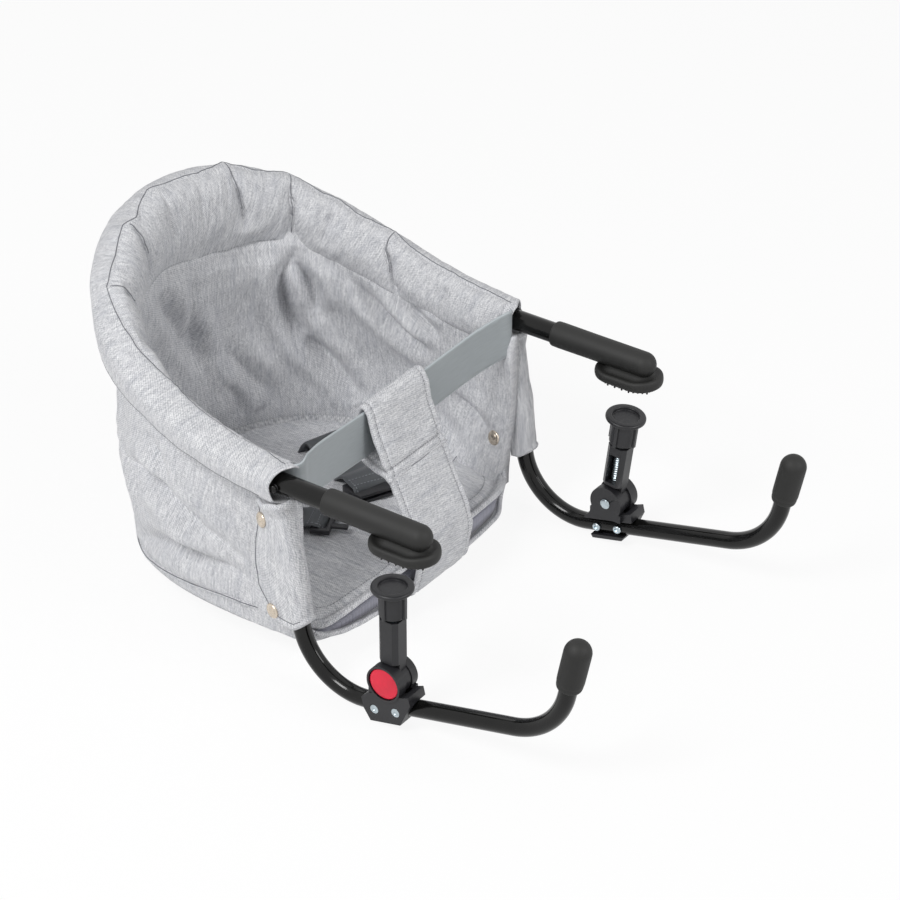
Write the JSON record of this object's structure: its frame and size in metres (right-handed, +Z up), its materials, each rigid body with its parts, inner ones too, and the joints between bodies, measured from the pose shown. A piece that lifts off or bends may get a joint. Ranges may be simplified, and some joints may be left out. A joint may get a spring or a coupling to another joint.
{
  "type": "hook on table chair",
  "caption": "Padded cloth bucket seat on a bent tube frame whose arms lie on a table top, with hinged lower tubes and screw feet that clamp under it.",
  "frame": {"origin": "on the table top, midway between the arms and above the screw feet", "axes": "+Z up, -Y towards the table, +X to the sitting child's left"},
  "size_m": [0.384, 0.5987, 0.327],
  "materials": {
    "enamel": "gloss black enamel",
    "rubber": "matte charcoal rubber",
    "plastic": "satin black moulding",
    "zinc": "bright zinc plate",
    "red": "crimson moulding",
    "melange": "light grey melange twill",
    "webbing": "satin grey webbing",
    "belt": "dark grey webbing",
    "nickel": "satin nickel",
    "board": "hard fibreboard"
  },
  "bodies": {
    "seat": {"seat_frame_tube": "enamel", "rim_sleeve": "melange", "seat_wall": "melange", "inner_band": "melange", "seat_base": "melange", "seat_board": "board", "seat_cushion": "melange", "front_webbing": "webbing", "crotch_strap": "melange", "left_buckle_socket": "plastic", "right_buckle_tongue": "plastic", "right_belt_slider": "plastic", "left_arm_grip": "rubber", "right_arm_grip": "rubber", "left_grip_sole": "rubber", "right_grip_sole": "rubber", "left_lap_belt": "belt", "right_lap_belt": "belt", "left_wall_snap": "nickel", "right_wall_snap": "nickel", "left_seat_snap": "nickel", "right_seat_snap": "nickel"},
    "left_leg": {"left_leg_tube": "enamel", "left_tip_cap": "rubber", "left_pivot_yoke": "plastic", "left_pivot_rivet": "zinc", "left_clamp_bracket": "plastic", "left_rear_clamp_screw": "zinc", "left_front_clamp_screw": "zinc", "left_hub_pin": "zinc", "left_button_spring": "zinc", "left_leg_flap": "melange", "left_upper_flap_snap": "nickel", "left_lower_flap_snap": "nickel"},
    "left_post": {"left_folding_post": "plastic", "left_spindle_nut": "zinc"},
    "left_spindle": {"left_screw_spindle": "zinc"},
    "left_foot": {"left_screw_foot": "plastic"},
    "left_button": {"left_release_button": "red"},
    "right_leg": {"right_leg_tube": "enamel", "right_tip_cap": "rubber", "right_pivot_yoke": "plastic", "right_pivot_rivet": "zinc", "right_clamp_bracket": "plastic", "right_rear_clamp_screw": "zinc", "right_front_clamp_screw": "zinc", "right_hub_pin": "zinc", "right_button_spring": "zinc", "right_leg_flap": "melange", "right_upper_flap_snap": "nickel", "right_lower_flap_snap": "nickel"},
    "right_post": {"right_folding_post": "plastic", "right_spindle_nut": "zinc"},
    "right_spindle": {"right_screw_spindle": "zinc"},
    "right_foot": {"right_screw_foot": "plastic"},
    "right_button": {"right_release_button": "red"}
  },
  "joints": [
    {"name": "right_leg_pivot", "type": "hinge", "parent": "seat", "child": "right_leg", "pos_m": [-0.171, 0.1155, 0.023], "axis": [1, 0, 0], "range_deg": [-2, 10]},
    {"name": "right_post_fold", "type": "hinge", "parent": "right_leg", "child": "right_post", "pos_m": [-0.171, 0, -0.1299], "axis": [1, 0, 0], "range_deg": [0, 76]},
    {"name": "right_spindle_raise", "type": "slide", "parent": "right_post", "child": "right_spindle", "axis": [0, 0, 1], "range_m": [0, 0.028]},
    {"name": "right_foot_turn", "type": "hinge", "parent": "right_spindle", "child": "right_foot", "pos_m": [-0.171, 0, -0.1299], "axis": [0, 0, 1], "range_deg": [0, 2016.5]},
    {"name": "right_button_press", "type": "slide", "parent": "right_leg", "child": "right_button", "axis": [1, 0, 0], "range_m": [0, 0.0025], "stiffness_N_per_m": 1500, "deforming": ["right_button_spring"]},
    {"name": "left_leg_pivot", "type": "hinge", "parent": "seat", "child": "left_leg", "pos_m": [0.171, 0.1155, 0.023], "axis": [1, 0, 0], "range_deg": [-2, 10]},
    {"name": "left_post_fold", "type": "hinge", "parent": "left_leg", "child": "left_post", "pos_m": [0.171, 0, -0.1299], "axis": [1, 0, 0], "range_deg": [-7, 69]},
    {"name": "left_spindle_raise", "type": "slide", "parent": "left_post", "child": "left_spindle", "axis": [0, -0.1219, 0.9925], "range_m": [0, 0.028]},
    {"name": "left_foot_turn", "type": "hinge", "parent": "left_spindle", "child": "left_foot", "pos_m": [0.171, 0, -0.1299], "axis": [0, -0.1219, 0.9925], "range_deg": [0, 2016.5]},
    {"name": "left_button_press", "type": "slide", "parent": "left_leg", "child": "left_button", "axis": [-1, 0, 0], "range_m": [0, 0.0025], "stiffness_N_per_m": 1500, "deforming": ["left_button_spring"]}
  ],
  "couplings": [
    {"joint": "right_foot_turn", "follows": "right_spindle_raise", "rad_per_m": 1256.6},
    {"joint": "left_foot_turn", "follows": "left_spindle_raise", "rad_per_m": 1256.6},
    {"joint": "left_leg_pivot", "follows": "right_leg_pivot", "ratio": 1}
  ]
}
